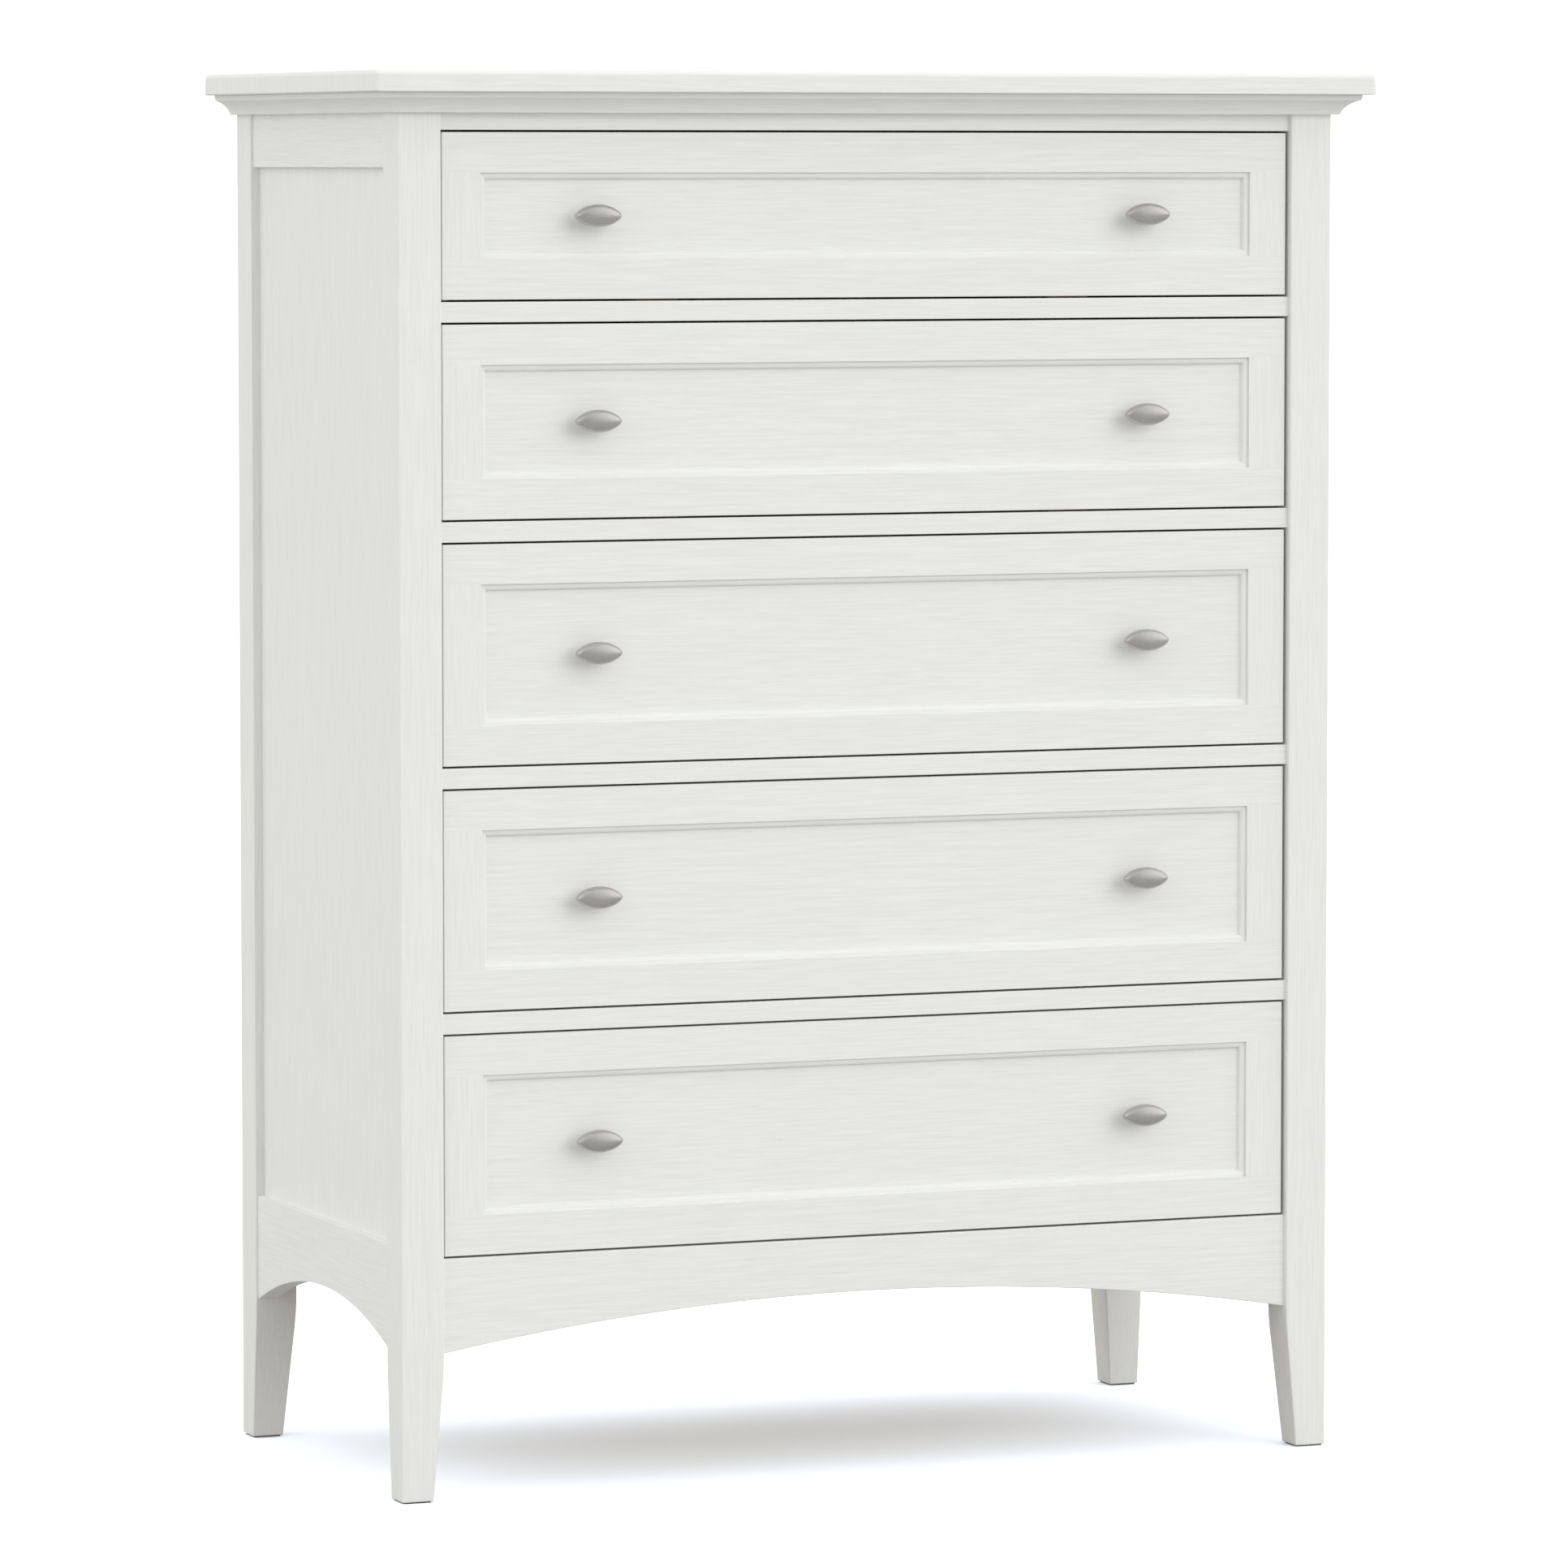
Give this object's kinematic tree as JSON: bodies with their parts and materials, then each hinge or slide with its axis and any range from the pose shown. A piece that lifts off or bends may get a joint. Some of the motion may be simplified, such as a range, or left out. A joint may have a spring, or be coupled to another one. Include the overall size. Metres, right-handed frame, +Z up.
{
  "type": "tall chest of drawers",
  "caption": "Tall free-standing chest of drawers with framed drawer fronts, almond knobs, panelled sides, arched aprons and tapered legs.",
  "frame": {"origin": "on the floor, under the middle of the top panel's outline", "axes": "+Z up; the drawers open towards -Y; +X to the right as seen by someone in front of the chest"},
  "size_m": [0.965, 0.475, 1.262],
  "materials": {
    "white_paint": "warm white brushed paint with a satin sheen over visible straight grain",
    "drawer_hardwood": "clear satin lacquer",
    "frame_hardwood": "bare planed wood",
    "birch_plywood": "smooth sanded veneer",
    "brushed_nickel": "satin brushed nickel"
  },
  "bodies": {
    "carcass": {"top_panel": "white_paint", "crown_moulding": "white_paint", "front_left_post": "white_paint", "front_right_post": "white_paint", "rear_left_post": "white_paint", "rear_right_post": "white_paint", "left_top_rail": "white_paint", "left_bottom_rail": "white_paint", "right_top_rail": "white_paint", "right_bottom_rail": "white_paint", "left_side_panel": "white_paint", "right_side_panel": "white_paint", "front_top_rail": "white_paint", "drawer_divider_1": "white_paint", "drawer_divider_2": "white_paint", "drawer_divider_3": "white_paint", "drawer_divider_4": "white_paint", "front_apron": "white_paint", "back_panel": "birch_plywood", "rear_bottom_rail": "white_paint", "runner_frame_1": "frame_hardwood", "runner_frame_2": "frame_hardwood", "runner_frame_3": "frame_hardwood", "runner_frame_4": "frame_hardwood", "runner_frame_5": "frame_hardwood"},
    "drawer_1": {"drawer_1_front": "white_paint", "drawer_1_left_side": "drawer_hardwood", "drawer_1_right_side": "drawer_hardwood", "drawer_1_back": "drawer_hardwood", "drawer_1_bottom": "birch_plywood", "drawer_1_left_knob": "brushed_nickel", "drawer_1_right_knob": "brushed_nickel"},
    "drawer_2": {"drawer_2_front": "white_paint", "drawer_2_left_side": "drawer_hardwood", "drawer_2_right_side": "drawer_hardwood", "drawer_2_back": "drawer_hardwood", "drawer_2_bottom": "birch_plywood", "drawer_2_left_knob": "brushed_nickel", "drawer_2_right_knob": "brushed_nickel"},
    "drawer_3": {"drawer_3_front": "white_paint", "drawer_3_left_side": "drawer_hardwood", "drawer_3_right_side": "drawer_hardwood", "drawer_3_back": "drawer_hardwood", "drawer_3_bottom": "birch_plywood", "drawer_3_left_knob": "brushed_nickel", "drawer_3_right_knob": "brushed_nickel"},
    "drawer_4": {"drawer_4_front": "white_paint", "drawer_4_left_side": "drawer_hardwood", "drawer_4_right_side": "drawer_hardwood", "drawer_4_back": "drawer_hardwood", "drawer_4_bottom": "birch_plywood", "drawer_4_left_knob": "brushed_nickel", "drawer_4_right_knob": "brushed_nickel"},
    "drawer_5": {"drawer_5_front": "white_paint", "drawer_5_left_side": "drawer_hardwood", "drawer_5_right_side": "drawer_hardwood", "drawer_5_back": "drawer_hardwood", "drawer_5_bottom": "birch_plywood", "drawer_5_left_knob": "brushed_nickel", "drawer_5_right_knob": "brushed_nickel"}
  },
  "joints": [
    {"name": "drawer_1_slide", "type": "slide", "parent": "carcass", "child": "drawer_1", "axis": [0, -1, 0], "range_m": [0, 0.3]},
    {"name": "drawer_2_slide", "type": "slide", "parent": "carcass", "child": "drawer_2", "axis": [0, -1, 0], "range_m": [0, 0.3]},
    {"name": "drawer_3_slide", "type": "slide", "parent": "carcass", "child": "drawer_3", "axis": [0, -1, 0], "range_m": [0, 0.3]},
    {"name": "drawer_4_slide", "type": "slide", "parent": "carcass", "child": "drawer_4", "axis": [0, -1, 0], "range_m": [0, 0.3]},
    {"name": "drawer_5_slide", "type": "slide", "parent": "carcass", "child": "drawer_5", "axis": [0, -1, 0], "range_m": [0, 0.3]}
  ]
}
